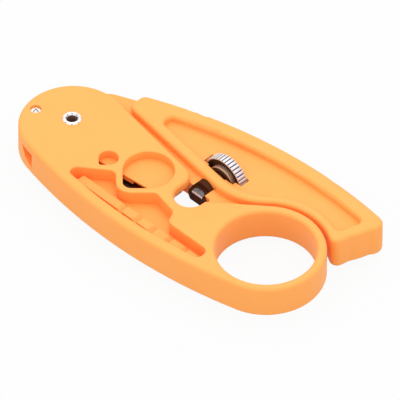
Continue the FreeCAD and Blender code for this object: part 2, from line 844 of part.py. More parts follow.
def blade_screw(place):
    """Slotted screw that holds the cutter blade from below."""
    head_low = blade_low_z - blade_screw_head_height
    shank = post(blade_screw_radius, place.x, place.y, blade_low_z, blade_top_z + blade_screw_length)
    head = post(blade_screw_head_radius, place.x, place.y, head_low, blade_low_z)
    slot = box(place.x - blade_screw_head_radius, place.x + blade_screw_head_radius,
               place.y - blade_screw_slot_width / 2, place.y + blade_screw_slot_width / 2,
               head_low, head_low + blade_screw_slot_depth)
    return head.fuse(shank).cut(slot).removeSplitter()


def blade_screw_nose():
    """Blade screw nearer the rivet."""
    return blade_screw(blade_screw_places()[0])


def blade_screw_tail():
    """Blade screw nearer the cable seat."""
    return blade_screw(blade_screw_places()[1])


def thumbwheel():
    """Ridged wheel with a sunk face on both sides and a hub ring towards the carrier."""
    points = []
    for i in range(wheel_ridges):
        for share, radius in ((-0.3, wheel_radius), (0.3, wheel_radius),
                              (0.5, wheel_radius - wheel_groove_depth)):
            turn = math.radians((i + share) * 360 / wheel_ridges)
            points.append(V(spindle_x + radius * math.cos(turn), wheel_front_y,
                            mid_z + radius * math.sin(turn)))
    points.append(points[0])
    rim = Part.Face(Part.makePolygon(points)).extrude(V(0, wheel_width, 0))
    envelope = rod(wheel_radius, wheel_front_y, wheel_back_y)
    wheel = rim.common(envelope.makeChamfer(wheel_edge, envelope.Edges))
    sunk_radius = wheel_radius - wheel_groove_depth - wheel_rim_wall
    front = rod(sunk_radius, wheel_front_y - 1, wheel_front_y + wheel_face_recess)
    back = rod(sunk_radius, wheel_back_y - wheel_face_recess, wheel_back_y + 1)
    wheel = wheel.cut([front, back])
    hub = rod(wheel_hub_radius, wheel_front_y - wheel_hub_length, wheel_back_y)
    hub_rim = [e for e in hub.Edges if e.isClosed()]
    wheel = wheel.fuse(hub.makeChamfer(wheel_edge, hub_rim))
    return wheel.cut(rod(nut_radius + fixed_clearance, 0, far)).removeSplitter()


def wheel_nut():
    """Threaded bush pressed into the thumbwheel."""
    nut = rod(nut_radius, nut_front_y, wheel_back_y)
    nut = nut.makeChamfer(wheel_edge, [e for e in nut.Edges if e.isClosed()])
    return nut.cut(rod(screw_radius + running_clearance, 0, far))


def lead_screw():
    """Screw fixed in the blade carrier and driven by the wheel nut."""
    screw = rod(screw_radius, carrier_rear_y - screw_socket_length, screw_rear_y)
    return screw.makeChamfer(wheel_edge, [e for e in screw.Edges if e.isClosed()])


def blade_carrier():
    """Round slider with a half-round nose, a sloping seat for the blade and a key groove."""
    body = rod(carrier_radius, carrier_front_y, carrier_rear_y)
    nose_end = carrier_front_y + carrier_nose_length
    body = body.cut(box(-far, far * 2, 0, nose_end, -1, mid_z - carrier_nose_drop))
    seat_low = mid_z + carrier_seat_height
    seat_high = seat_low + carrier_seat_length * math.tan(math.radians(strip_blade_tilt))
    side_x = spindle_x - 2 * carrier_radius
    seat_points = [
        V(side_x, carrier_front_y, seat_low),
        V(side_x, carrier_front_y + carrier_seat_length, seat_high),
        V(side_x, carrier_front_y + carrier_seat_length, thickness),
        V(side_x, carrier_front_y, thickness),
        V(side_x, carrier_front_y, seat_low),
    ]
    seat = Part.Face(Part.makePolygon(seat_points)).extrude(V(4 * carrier_radius, 0, 0))
    body = body.cut(seat)
    groove = carrier_key_width / 2 + carrier_bore_clearance
    body = body.cut(box(spindle_x - groove, spindle_x + groove, 0, far, -1,
                        mid_z - carrier_radius + carrier_key_height + carrier_bore_clearance))
    return body.cut(rod(screw_radius + fixed_clearance, carrier_rear_y - screw_socket_length, far))


def strip_blade():
    """D-shaped stripping blade with a straight bevelled edge towards the cable."""
    front = carrier_front_y - strip_blade_reach
    half = strip_blade_width / 2
    left = V(spindle_x - half, front)
    right = V(spindle_x + half, front)
    side = V(0, strip_blade_side)
    back = Part.Arc(left + side, V(spindle_x, front + strip_blade_length), right + side).toShape()
    low = mid_z + carrier_seat_height
    blade = plate([line(left, right), line(right, right + side), back, line(left + side, left)],
                  low, low + strip_blade_thickness)
    edge = [e for e in edges_at(blade, low + strip_blade_thickness)
            if abs(e.CenterOfMass.y - front) < 1e-4]
    blade = blade.makeChamfer(strip_blade_bevel, edge)
    blade.rotate(V(spindle_x, carrier_front_y, low), V(1, 0, 0), strip_blade_tilt)
    return blade


def save(name, shape):
    """One file for each piece."""
    shape.exportStep(os.path.join("parts", name + ".step"))
    print(name, shape.isValid(), len(shape.Solids), round(shape.Volume, 1))


os.makedirs("parts", exist_ok=True)
for piece in (ring_lever, pivot_rivet, rivet_washer, nose_pin, return_spring, handle_lever, cutter_blade,
              blade_screw_nose, blade_screw_tail, thumbwheel, wheel_nut, lead_screw, blade_carrier,
              strip_blade):
    save(piece.__name__, piece())
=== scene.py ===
"""Looks for a cable stripping tool with a finger ring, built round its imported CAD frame."""

import math

import bmesh
import bpy
import numpy as np
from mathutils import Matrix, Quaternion, Vector


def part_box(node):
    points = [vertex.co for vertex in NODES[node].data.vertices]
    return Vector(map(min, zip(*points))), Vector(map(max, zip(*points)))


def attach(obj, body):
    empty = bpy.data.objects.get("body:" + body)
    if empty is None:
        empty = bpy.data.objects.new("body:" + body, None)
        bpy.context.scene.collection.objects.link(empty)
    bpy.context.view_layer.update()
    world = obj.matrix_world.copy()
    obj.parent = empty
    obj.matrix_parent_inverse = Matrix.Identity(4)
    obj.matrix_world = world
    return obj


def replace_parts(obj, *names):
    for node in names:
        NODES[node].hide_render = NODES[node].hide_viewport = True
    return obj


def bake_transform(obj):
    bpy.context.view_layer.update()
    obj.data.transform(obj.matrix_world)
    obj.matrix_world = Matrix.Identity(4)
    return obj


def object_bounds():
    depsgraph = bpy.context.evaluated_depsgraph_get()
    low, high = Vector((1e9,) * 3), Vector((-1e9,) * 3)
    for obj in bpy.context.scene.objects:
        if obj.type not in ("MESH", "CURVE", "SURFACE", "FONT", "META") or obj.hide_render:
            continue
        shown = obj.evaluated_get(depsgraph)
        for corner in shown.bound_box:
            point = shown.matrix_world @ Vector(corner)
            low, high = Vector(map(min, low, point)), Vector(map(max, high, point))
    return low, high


bl_info = {
    "name": "Cable stripping tool",
    "version": (1, 0, 0),
    "blender": (4, 5, 0),
    "location": "View3D > Sidebar > Stripper",
    "description": "Dresses the CAD frame of a cable stripping tool and sets its studio",
    "category": "Object",
}

MM = 0.001
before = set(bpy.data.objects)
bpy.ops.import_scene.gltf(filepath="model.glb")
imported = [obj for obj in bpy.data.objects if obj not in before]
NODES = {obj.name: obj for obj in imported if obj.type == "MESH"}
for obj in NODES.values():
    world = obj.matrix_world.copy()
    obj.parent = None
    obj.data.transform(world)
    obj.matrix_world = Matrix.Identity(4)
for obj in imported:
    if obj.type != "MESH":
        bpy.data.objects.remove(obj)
CAD_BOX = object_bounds()
WHEEL_LOW, WHEEL_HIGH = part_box("thumbwheel")
SCREW_LOW, SCREW_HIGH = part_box("lead_screw")
SPRING_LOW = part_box("return_spring")[0]
LEVER_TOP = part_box("ring_lever")[1].z
RIVET_LOW, RIVET_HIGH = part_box("pivot_rivet")
PIN_LOW, PIN_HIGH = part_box("nose_pin")
# Front edge of the stripping blade, where its painted highlight lies
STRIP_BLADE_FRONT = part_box("strip_blade")[0].y

# Points nearer than this count as one
MERGE_GAP = 0.0005 * MM
# Height of the fine grain of every finish
GRAIN_HEIGHT = 0.02 * MM
# Grain drawn out along Y into grinding lines
GRINDING_LINES = (1, 0.06, 1)

# How finely the drawn pieces are divided
SCREW_SIDES = 36
SCREW_STEPS_PER_PITCH = 8
PIN_SIDES = 120
PIN_END_RINGS = 22
SPRING_SIDES = 14
SPRING_RINGS_PER_TURN = 72
SPRING_TIP_RINGS = 6
PIN_LEG_RINGS = 12
TONGUE_LEG_RINGS = 8


class StripperSizes(bpy.types.PropertyGroup):
    """Sizes of the pieces that are drawn here"""

    smooth_angle: bpy.props.FloatProperty(
        name="Crease angle", description="Edges sharper than this stay crisp",
        default=math.radians(28), subtype="ANGLE")
    wheel_ridges: bpy.props.IntProperty(
        name="Wheel ridges", description="Grip ridges round the thumbwheel", default=40)
    wheel_groove: bpy.props.FloatProperty(
        name="Groove depth", description="Depth of the grooves between the ridges",
        default=0.32 * MM, unit="LENGTH")
    wheel_width: bpy.props.FloatProperty(
        name="Wheel width", description="Width of the ridged rim", default=3.1 * MM, unit="LENGTH")
    wheel_recess: bpy.props.FloatProperty(
        name="Face recess", description="How deep both wheel faces are sunk",
        default=0.6 * MM, unit="LENGTH")
    hub_length: bpy.props.FloatProperty(
        name="Hub length", description="How far the hub ring stands out of the front face",
        default=0.75 * MM, unit="LENGTH")
    hub_radius: bpy.props.FloatProperty(
        name="Hub radius", description="Outer radius of the hub ring",
        default=5.0 * MM, unit="LENGTH")
    hub_bore: bpy.props.FloatProperty(
        name="Hub bore", description="Radius of the hole for the bush",
        default=4.42 * MM, unit="LENGTH")
    rim_inner: bpy.props.FloatProperty(
        name="Rim radius", description="Inner radius of the ridged rim",
        default=7.05 * MM, unit="LENGTH")
    wheel_bevel: bpy.props.FloatProperty(
        name="Wheel bevel", description="Bevel of the wheel's edges",
        default=0.3 * MM, unit="LENGTH")
    rivet_bore: bpy.props.FloatProperty(
        name="Rivet bore", description="Radius of the hole through the rivet",
        default=1.55 * MM, unit="LENGTH")
    rivet_shank: bpy.props.FloatProperty(
        name="Rivet shank", description="Outer radius of the rivet's tube",
        default=2.2 * MM, unit="LENGTH")
    rivet_flange: bpy.props.FloatProperty(
        name="Rivet flange", description="Height of the rolled flange",
        default=0.46 * MM, unit="LENGTH")
    rivet_splits: bpy.props.IntProperty(
        name="Rivet splits", description="Splits round the rolled flange", default=8)
    pin_crimp_way: bpy.props.FloatProperty(
        name="Crimp way", description="Direction of the tip of the vee crimped into the pin's ends",
        default=math.radians(135), subtype="ANGLE")
    pin_crimp_spread: bpy.props.FloatProperty(
        name="Crimp spread", description="Angle of each leg of the vee to its middle line",
        default=math.radians(30), subtype="ANGLE")
    pin_crimp_depth: bpy.props.FloatProperty(
        name="Crimp depth", description="Depth of the vee in the pin's ends",
        default=0.4 * MM, unit="LENGTH")
    pin_crimp_width: bpy.props.FloatProperty(
        name="Crimp width", description="Half the width of the vee's legs",
        default=0.11 * MM, unit="LENGTH")
    pin_bevel: bpy.props.FloatProperty(
        name="Pin bevel", description="Rounding of the rim of the pin's ends",
        default=0.15 * MM, unit="LENGTH")
    # Width of the painted highlight along the stripping blade's ground front edge
    painted_highlight_width: bpy.props.FloatProperty(
        name="Honed width", description="Width of the bright ground edge of the stripping blade",
        default=0.22 * MM, unit="LENGTH")
    thread_pitch: bpy.props.FloatProperty(
        name="Thread pitch", description="Advance of the lead screw in one turn",
        default=0.8 * MM, unit="LENGTH")
    thread_depth: bpy.props.FloatProperty(
        name="Thread depth", description="Depth of the lead screw's thread",
        default=0.28 * MM, unit="LENGTH")
    coil_radius: bpy.props.FloatProperty(
        name="Coil radius", description="Radius of the return spring to the wire's middle",
        default=4.2 * MM, unit="LENGTH")
    coil_wire: bpy.props.FloatProperty(
        name="Wire", description="Diameter of the spring wire", default=0.8 * MM, unit="LENGTH")
    coil_pitch: bpy.props.FloatProperty(
        name="Coil pitch", description="Rise of the spring in one turn",
        default=0.85 * MM, unit="LENGTH")
    coil_turns: bpy.props.IntProperty(
        name="Coil turns", description="Whole turns of the spring", default=2)
    coil_start: bpy.props.FloatProperty(
        name="Coil start", description="Angle round the rivet where both legs leave the coil",
        default=math.radians(284.02), subtype="ANGLE")
    pin_leg: bpy.props.FloatProperty(
        name="Pin leg", description="Length of the leg that rests on the nose pin",
        default=12.12 * MM, unit="LENGTH")
    tongue_leg: bpy.props.FloatProperty(
        name="Tongue leg", description="Length of the leg in the tongue",
        default=8.0 * MM, unit="LENGTH")


class StripperColours(bpy.types.PropertyGroup):
    """Colours of the finishes"""

    orange: bpy.props.FloatVectorProperty(
        name="Orange", description="Moulded plastic of both levers",
        subtype="COLOR", size=4, min=0, max=1, default=(1.0, 0.4, 0.092, 1))
    orange_deep: bpy.props.FloatVectorProperty(
        name="Deep orange", description="Darker tone in the plastic's mottling",
        subtype="COLOR", size=4, min=0, max=1, default=(1.0, 0.385, 0.085, 1))
    plating: bpy.props.FloatVectorProperty(
        name="Plating", description="Bright plating of the fasteners",
        subtype="COLOR", size=4, min=0, max=1, default=(0.95, 0.945, 0.935, 1))
    plating_dull: bpy.props.FloatVectorProperty(
        name="Dull plating", description="Handled patches of the fasteners",
        subtype="COLOR", size=4, min=0, max=1, default=(0.86, 0.85, 0.84, 1))
    # Painted shade: dark brown in the rivet's bore and splits and in the pin's vee, where shade falls
    plating_painted_shade: bpy.props.FloatVectorProperty(
        name="Plating shade", description="Tarnish in the rivet's splits and bore and the pin's vee",
        subtype="COLOR", size=4, min=0, max=1, default=(0.19, 0.1, 0.075, 1))
    wheel_plating: bpy.props.FloatVectorProperty(
        name="Wheel plating", description="Plating of the thumbwheel",
        subtype="COLOR", size=4, min=0, max=1, default=(0.86, 0.82, 0.79, 1))
    wheel_plating_dull: bpy.props.FloatVectorProperty(
        name="Dull wheel plating", description="Handled patches of the thumbwheel",
        subtype="COLOR", size=4, min=0, max=1, default=(0.76, 0.72, 0.7, 1))
    # Painted shade: a dark tone on the wheel's sunk faces
    wheel_painted_shade: bpy.props.FloatVectorProperty(
        name="Wheel shade", description="Dark oiled steel of the wheel's sunk faces",
        subtype="COLOR", size=4, min=0, max=1, default=(0.11, 0.065, 0.05, 1))
    # Painted shade: a dark violet tone in the wheel's grooves
    wheel_groove_painted_shade: bpy.props.FloatVectorProperty(
        name="Wheel blue", description="Blued steel in the wheel's grooves",
        subtype="COLOR", size=4, min=0, max=1, default=(0.13, 0.095, 0.28, 1))
    # Painted reflection: a warm tone on the hub ring in place of the orange levers it reflects
    wheel_hub_painted_reflection: bpy.props.FloatVectorProperty(
        name="Wheel hub", description="Brassy nickel of the wheel's hub ring",
        subtype="COLOR", size=4, min=0, max=1, default=(0.66, 0.47, 0.33, 1))
    steel: bpy.props.FloatVectorProperty(
        name="Ground steel", description="Steel of the cutter blade, the lead screw and the spring",
        subtype="COLOR", size=4, min=0, max=1, default=(0.29, 0.25, 0.24, 1))
    steel_dark: bpy.props.FloatVectorProperty(
        name="Dark steel", description="Patches of the ground steel, and the stripping blade's tone",
        subtype="COLOR", size=4, min=0, max=1, default=(0.2, 0.17, 0.165, 1))
    steel_oiled: bpy.props.FloatVectorProperty(
        name="Oiled steel", description="Oiled patches of the stripping blade",
        subtype="COLOR", size=4, min=0, max=1, default=(0.14, 0.115, 0.11, 1))
    # Painted highlight along the stripping blade's ground front edge
    painted_edge_highlight: bpy.props.FloatVectorProperty(
        name="Honed steel", description="Bright ground edge of the stripping blade",
        subtype="COLOR", size=4, min=0, max=1, default=(0.68, 0.68, 0.69, 1))
    # Both black tones carry an orange-brown tint, painted bounce light from the orange levers
    black: bpy.props.FloatVectorProperty(
        name="Black", description="Black plastic of the slider and the bush",
        subtype="COLOR", size=4, min=0, max=1, default=(0.064, 0.02, 0.009, 1))
    black_grey: bpy.props.FloatVectorProperty(
        name="Greyed black", description="Rubbed patches of the black plastic",
        subtype="COLOR", size=4, min=0, max=1, default=(0.076, 0.026, 0.012, 1))
    floor: bpy.props.FloatVectorProperty(
        name="Floor", description="Studio floor",
        subtype="COLOR", size=4, min=0, max=1, default=(0.62, 0.62, 0.62, 1))


class StripperStudio(bpy.types.PropertyGroup):
    """Camera and light"""

    azimuth: bpy.props.FloatProperty(
        name="Azimuth", description="Camera's turn round the tool",
        default=math.radians(44.9), subtype="ANGLE")
    elevation: bpy.props.FloatProperty(
        name="Elevation", description="Camera's height above the horizon",
        default=math.radians(44.3), subtype="ANGLE")
    roll: bpy.props.FloatProperty(
        name="Roll", description="Camera's turn about its own line of sight",
        default=math.radians(0.32), subtype="ANGLE")
    aim: bpy.props.FloatVectorProperty(
        name="Aim", description="Point in the middle of the picture",
        default=(43.2 * MM, 10.56 * MM, 0), subtype="XYZ", unit="LENGTH")
    distance: bpy.props.FloatProperty(
        name="Distance", description="Camera's distance from the aim", default=4.6, unit="LENGTH")
    lens: bpy.props.FloatProperty(
        name="Lens", description="Focal length in millimetres", default=1400.0)
    sky: bpy.props.FloatProperty(
        name="Sky", description="Strength of the even light", default=1.1)
    key: bpy.props.FloatProperty(
        name="Key", description="Power of the overhead lamp", default=1.2, unit="POWER")
    key_size: bpy.props.FloatProperty(
        name="Key size", description="Side of the overhead lamp", default=0.5, unit="LENGTH")
    key_place: bpy.props.FloatVectorProperty(
        name="Key place", description="Place of the overhead lamp, from the aim",
        default=(-0.1, 0.12, 0.62), subtype="XYZ", unit="LENGTH")
    fill: bpy.props.FloatProperty(
        name="Fill", description="Power of the side lamp", default=0.1, unit="POWER")
    fill_size: bpy.props.FloatProperty(
        name="Fill size", description="Side of the side lamp", default=0.35, unit="LENGTH")
    fill_place: bpy.props.FloatVectorProperty(
        name="Fill place", description="Place of the side lamp, from the aim",
        default=(0.35, -0.45, 0.35), subtype="XYZ", unit="LENGTH")
    bounces: bpy.props.IntProperty(
        name="Bounces", description="How often light may go on between dull surfaces", default=12)
    floor_size: bpy.props.FloatProperty(
        name="Floor size", description="Half the side of the floor", default=6.0, unit="LENGTH")
    floor_rough: bpy.props.FloatProperty(
        name="Floor roughness", description="Roughness of the floor",
        default=0.9, subtype="FACTOR", min=0, max=1)
    floor_white: bpy.props.FloatProperty(
        name="Floor white", description="Share of plain white in what the camera sees of the floor",
        default=0.94, subtype="FACTOR", min=0, max=1)


def sizes():
    """Sizes set in the scene."""
    return bpy.context.scene.stripper_sizes


def colours():
    """Colours set in the scene."""
    return bpy.context.scene.stripper_colours


def studio():
    """Camera and light settings of the scene."""
    return bpy.context.scene.stripper_studio


def grid_faces(rows, columns, wrap_rows, wrap_columns):
    """Quads between neighbouring points of a grid, wrapped round where asked."""
    row_starts = np.arange(rows if wrap_rows else rows - 1)
    column_starts = np.arange(columns if wrap_columns else columns - 1)
    row, column = np.meshgrid(row_starts, column_starts, indexing="ij")
    next_row = (row + 1) % rows
    next_column = (column + 1) % columns
    corners = (row * columns + column, next_row * columns + column,
               next_row * columns + next_column, row * columns + next_column)
    return np.stack(corners, axis=-1).reshape(-1, 4)


def merge_doubles(mesh):
    """Mesh whose points that fall together, as at a pole or a tip, are one point."""
    work = bmesh.new()
    work.from_mesh(mesh)
    bmesh.ops.remove_doubles(work, verts=work.verts, dist=MERGE_GAP)
    work.to_mesh(mesh)
    work.free()


def grid_piece(name, points, wrap_rows=False, wrap_columns=False, **masks):
    """Mesh object from a grid of points in metres, smooth except at edges sharper than the crease angle.

    Each grid of mask values becomes an attribute of the mesh, under its own name."""
    rows, columns = points.shape[:2]
    quads = grid_faces(rows, columns, wrap_rows, wrap_columns)
    mesh = bpy.data.meshes.new(name)
    mesh.vertices.add(rows * columns)
    mesh.vertices.foreach_set("co", points.astype(np.float32).ravel())
    mesh.loops.add(quads.size)
    mesh.loops.foreach_set("vertex_index", quads.astype(np.int32).ravel())
    mesh.polygons.add(len(quads))
    mesh.polygons.foreach_set("loop_start", np.arange(0, quads.size, 4, dtype=np.int32))
    mesh.update(calc_edges=True)
    for label, mask in masks.items():
        attribute = mesh.attributes.new(label, "FLOAT", "POINT")
        attribute.data.foreach_set("value", mask.astype(np.float32).ravel())
    merge_doubles(mesh)
    mesh.validate()
    mesh.shade_smooth()
    mesh.set_sharp_from_angle(angle=sizes().smooth_angle)
    piece = bpy.data.objects.new(name, mesh)
    bpy.context.scene.collection.objects.link(piece)
    return piece


def turned(profile_y, profile_r, angles, axis_x, axis_z):
    """Surface of revolution about a line along Y: radius r at height y, swept through the angles."""
    x = axis_x + profile_r * np.cos(angles)[:, None]
    z = axis_z + profile_r * np.sin(angles)[:, None]
    y = np.broadcast_to(profile_y, x.shape)
    return np.stack((x, y, z), axis=-1)


def wheel_points():
    """Ridged wheel: a closed profile turned about the spindle, its radius capped by the ridge outline.

    Each ridge has a flat top and a flat groove, so the cap steps between two radii round the rim. The
    grooves run out at both faces. The third column of the profile marks the sunk floors, the fourth
    the hub ring. Gives the points and the masks of painted shade in the grooves and on the sunk floors,
    and of painted reflection on the hub ring."""
    s = sizes()
    radius = (WHEEL_HIGH.x - WHEEL_LOW.x) / 2
    axis_x = (WHEEL_HIGH.x + WHEEL_LOW.x) / 2
    axis_z = (WHEEL_HIGH.z + WHEEL_LOW.z) / 2
    back = WHEEL_HIGH.y
    front = back - s.wheel_width
    hub = front - s.hub_length
    bevel = s.wheel_bevel
    floor_front = front + s.wheel_recess
    floor_back = back - s.wheel_recess
    profile = np.array([
        (hub, s.hub_bore + bevel / 2, 0, 1), (hub, s.hub_radius - bevel, 0, 1),
        (hub + bevel, s.hub_radius, 0, 1), (floor_front - bevel / 4, s.hub_radius, 0, 1),
        (floor_front, s.hub_radius, 1, 0), (floor_front, s.rim_inner, 1, 0),
        (floor_front - bevel / 4, s.rim_inner, 0, 0), (front + bevel / 2, s.rim_inner, 0, 0),
        (front, s.rim_inner + bevel / 2, 0, 0), (front, radius - bevel, 0, 0),
        (front + bevel / 3, radius - bevel / 3, 0, 0), (front + bevel, radius, 0, 0),
        (back - bevel, radius, 0, 0), (back - bevel / 3, radius - bevel / 3, 0, 0),
        (back, radius - bevel, 0, 0), (back, s.rim_inner + bevel / 2, 0, 0),
        (back - bevel / 2, s.rim_inner, 0, 0), (floor_back + bevel / 4, s.rim_inner, 0, 0),
        (floor_back, s.rim_inner, 1, 0), (floor_back, s.hub_radius, 1, 0),
        (floor_back + bevel / 4, s.hub_radius, 0, 1), (back - bevel, s.hub_radius, 0, 1),
        (back, s.hub_radius - bevel, 0, 1), (back, s.hub_bore + bevel / 2, 0, 1),
        (back - bevel / 2, s.hub_bore, 0, 1), (hub + bevel / 2, s.hub_bore, 0, 1),
    ])
    # Places round one ridge as shares of its step, and the share of the groove's depth at each
    share = np.array([-0.33, -0.3, 0.0, 0.3, 0.33, 0.38, 0.5, 0.62])
    depth = np.array([0.06, 0.0, 0.0, 0.0, 0.06, 0.96, 1.0, 0.96])
    depth_at_faces = 0.15
    ridge = np.arange(s.wheel_ridges)
    angles = (ridge[:, None] + share).ravel() * (2 * np.pi / s.wheel_ridges)
    groove = np.tile(depth, s.wheel_ridges)[:, None]
    from_face = np.minimum(profile[:, 0] - front, back - profile[:, 0])
    run_out = np.clip(from_face / bevel, depth_at_faces, 1)
    profile_r = np.minimum(profile[:, 1], radius - groove * run_out * s.wheel_groove)
    on_rim = profile[:, 1] > radius - bevel / 2
    points = turned(profile[:, 0], profile_r, angles, axis_x, axis_z)
    sunk = np.broadcast_to(profile[:, 2], profile_r.shape)
    hub_ring = np.broadcast_to(profile[:, 3], profile_r.shape)
    # Masks of painted shade in the grooves and on the sunk floors, and of painted reflection on the hub
    # ring
    return points, {"groove": groove * run_out * on_rim, "sunk": sunk, "hub": hub_ring}


def screw_points():
    """Threaded rod: radius less a vee that winds with the angle and repeats every pitch along Y.

    The ends taper over one pitch and close on the axis."""
    s = sizes()
    radius = (SCREW_HIGH.x - SCREW_LOW.x) / 2
    axis_x = (SCREW_HIGH.x + SCREW_LOW.x) / 2
    axis_z = (SCREW_HIGH.z + SCREW_LOW.z) / 2
    length = SCREW_HIGH.y - SCREW_LOW.y
    along = np.linspace(0, length, int(SCREW_STEPS_PER_PITCH * length / s.thread_pitch))
    angles = np.linspace(0, 2 * np.pi, SCREW_SIDES, endpoint=False)
    phase = (along / s.thread_pitch - angles[:, None] / (2 * np.pi)) % 1.0
    vee = np.abs(2 * phase - 1)
    taper = np.minimum(along, length - along) / s.thread_pitch
    rod = radius - s.thread_depth * vee
    rod = np.minimum(rod, radius - s.thread_depth * (1 - np.clip(taper, 0, 1)))
    ends = np.zeros((len(angles), 1))
    rod = np.concatenate((ends, rod, ends), axis=1)
    y = SCREW_LOW.y + np.concatenate(([0.0], along, [length]))
    return turned(y, rod, angles, axis_x, axis_z)


def peaks(angles, count, width):
    """Bell curves of one width at equal steps round a circle: 1 on a step and 0 between."""
    step = 2 * np.pi / count
    off = (angles + step / 2) % step - step / 2
    return np.exp(-(off / width) ** 2)


def rivet_points():
    """Tubular rivet: a closed profile turned about the pivot, with radial splits in its rolled flange.

    The bore opens through a short funnel into a flat crown, whose outer edge is rolled down. At a split
    the funnel widens and the outer edge draws in, by a bell curve of the angle. Gives the points and
    the mask of painted shade, which darkens the bore and the splits."""
    s = sizes()
    wall = RIVET_HIGH.x - s.rivet_bore
    # From the bore over the crown to the outer edge: shares of the wall and of the flange's height
    roll = np.array([
        (0.0, -0.9), (0.03, -0.5), (0.045, -0.42), (0.13, 0.1), (0.22, 0.55), (0.3, 0.84), (0.38, 0.97),
        (0.46, 1.0), (0.6, 0.95), (0.74, 0.82), (0.88, 0.58), (0.96, 0.34), (1.0, 0.1), (0.98, 0.0),
    ])
    funnel_middle = 0.2
    edge_start = 0.8
    edge_reach = 0.15
    radius = np.concatenate(([s.rivet_bore], s.rivet_bore + wall * roll[:, 0], [s.rivet_shank] * 2))
    rise = np.concatenate((roll[:1, 1], roll[:, 1], [0.0, 0.0]))
    height = LEVER_TOP + s.rivet_flange * rise
    height[[0, -1]] = RIVET_LOW.z
    share = np.concatenate(([0.0], roll[:, 0], [0.0, 0.0]))
    funnel = np.clip(1 - np.abs(share - funnel_middle) / funnel_middle, 0, 1)
    outer = np.clip((share - edge_start) / edge_reach, 0, 1)
    # Places round one split as shares of its step, closer together at its middle
    fine = np.array((-0.5, -0.3, -0.18, -0.11, -0.06, 0.0, 0.06, 0.11, 0.18, 0.3))
    split_angle = 0.08
    split_depth = 0.12 * wall
    angles = (np.arange(s.rivet_splits)[:, None] + fine).ravel() * (2 * np.pi / s.rivet_splits)
    split = peaks(angles, s.rivet_splits, split_angle)[:, None]
    r = radius + split * (funnel - outer) * split_depth
    points = np.stack((r * np.cos(angles)[:, None], r * np.sin(angles)[:, None],
                       np.broadcast_to(height, r.shape)), axis=-1)
    # Mask of painted shade: the bore below bore_rise, and each split in the funnel, the crown and the
    # outer edge
    bore_rise = -0.45
    edge_shade = 0.8
    crown_shade = 0.12
    bore = np.where(rise < bore_rise, 1.0, 0.0)
    return points, np.clip(bore + split * (funnel + edge_shade * outer + crown_shade), 0, 1)


def pin_points():
    """Nose pin: a rod turned about its axis, with a vee crimped into both ends.

    An end sinks by a bell curve of the distance to the two legs, which leave one tip at equal angles.
    Gives the points and the mask of painted shade, which darkens the vee."""
    s = sizes()
    middle = (PIN_LOW + PIN_HIGH) / 2
    reach = PIN_HIGH.x - middle.x
    # Rings from the middle of an end to its rim, closer together at the rim
    share = np.append(np.linspace(0, 0.94, PIN_END_RINGS), (0.97, 0.99, 1.0))
    rim_start = 0.9
    rim_reach = 0.1
    bevel = s.pin_bevel * np.clip((share - rim_start) / rim_reach, 0, 1) ** 2
    radius = reach * np.concatenate((share, share[::-1]))
    height = np.concatenate((PIN_LOW.z + bevel, PIN_HIGH.z - bevel[::-1]))
    angles = np.linspace(0, 2 * np.pi, PIN_SIDES, endpoint=False)[:, None]
    from_tip = radius * np.cos(angles) - reach / 2
    aside = np.abs(radius * np.sin(angles))
    along = aside * math.sin(s.pin_crimp_spread) - from_tip * math.cos(s.pin_crimp_spread)
    beside = aside * math.cos(s.pin_crimp_spread) + from_tip * math.sin(s.pin_crimp_spread)
    away = np.where(along > 0, np.abs(beside), np.hypot(from_tip, aside))
    crimp = np.exp(-(away / s.pin_crimp_width) ** 2)
    into = np.where(height < middle.z, 1.0, -1.0)
    z = height + into * crimp * s.pin_crimp_depth
    points = np.stack((middle.x + radius * np.cos(angles + s.pin_crimp_way),
                       middle.y + radius * np.sin(angles + s.pin_crimp_way), z), axis=-1)
    # Painted shade along the crimped vee
    crimp_shade = 0.75
    return points, crimp_shade * crimp


def spring_path():
    """Middle line of the spring: a straight leg, a helix of whole turns and a straight leg.

    Both legs run along the helix's tangent where they join it, and their tips are half balls. Gives the
    points, the wire's radius at each and the height where the helix starts."""
    s = sizes()
    wire = s.coil_wire / 2
    rise = s.coil_pitch / (2 * np.pi * s.coil_radius)
    low = SPRING_LOW.z + wire + rise * s.pin_leg
    turn = np.linspace(0, 2 * np.pi * s.coil_turns, SPRING_RINGS_PER_TURN * s.coil_turns + 1)
    angle = s.coil_start + turn
    coil = np.stack((s.coil_radius * np.cos(angle), s.coil_radius * np.sin(angle),
                     low + turn * s.coil_pitch / (2 * np.pi)), axis=-1)
    way = np.array((-math.sin(s.coil_start), math.cos(s.coil_start), rise))
    way = way / np.linalg.norm(way)
    quarter = np.linspace(0, np.pi / 2, SPRING_TIP_RINGS)
    tip = wire * (1 - np.cos(quarter))
    round_end = wire * np.sin(quarter)
    coil_gap = 0.5 * MM
    tip_gap = 1 * MM
    from_tip = np.append(tip, np.linspace(tip_gap, s.pin_leg - coil_gap, PIN_LEG_RINGS))
    to_tip = np.append(np.linspace(coil_gap, s.tongue_leg - tip_gap, TONGUE_LEG_RINGS),
                       s.tongue_leg - tip[::-1])
    pin_leg = coil[0] - way * (s.pin_leg - from_tip)[:, None]
    tongue_leg = coil[-1] + way * to_tip[:, None]
    path = np.concatenate((pin_leg, coil, tongue_leg))
    thick = np.full(len(path), wire)
    thick[:SPRING_TIP_RINGS] = round_end
    thick[-SPRING_TIP_RINGS:] = round_end[::-1]
    return path, thick, low


